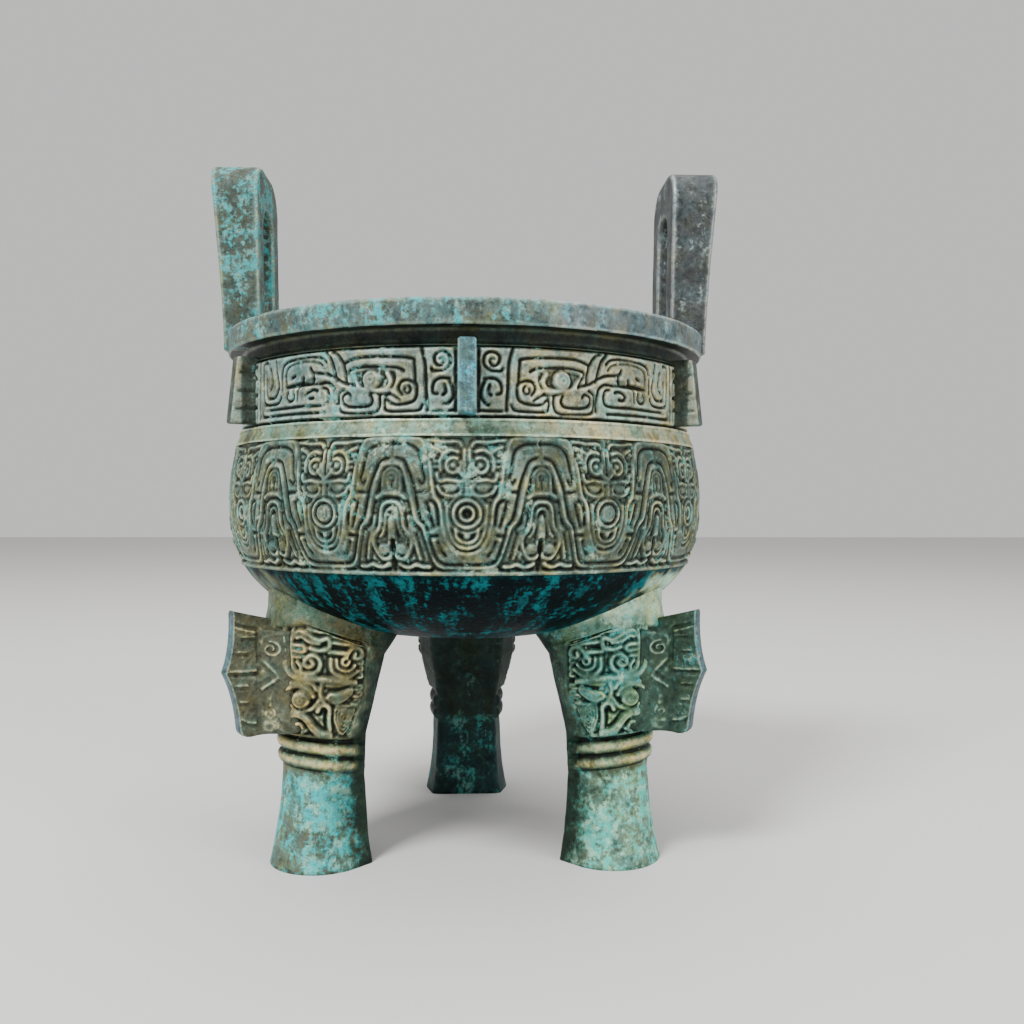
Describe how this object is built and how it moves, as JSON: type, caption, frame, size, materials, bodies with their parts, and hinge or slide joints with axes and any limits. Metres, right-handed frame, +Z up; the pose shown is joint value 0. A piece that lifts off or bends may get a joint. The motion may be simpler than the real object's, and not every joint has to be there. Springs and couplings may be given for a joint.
{
  "type": "tripod ding vessel",
  "caption": "Round bronze ding: an open cauldron on masked legs, with arched rim handles, flanges and cast friezes.",
  "frame": {"origin": "on the floor, on the bowl's own axis, which is the centre of the footprint box to within 1.5 mm", "axes": "+Z up along the bowl's axis, handles at +X and -X, -Y towards the front, between the two front legs"},
  "size_m": [0.2248, 0.2244, 0.3],
  "materials": {
    "patinated_bronze": "cast bronze with an applied green patina, rubbed pale on the raised carving"
  },
  "bodies": {
    "root": {"ding_vessel": "patinated_bronze"}
  },
  "joints": []
}
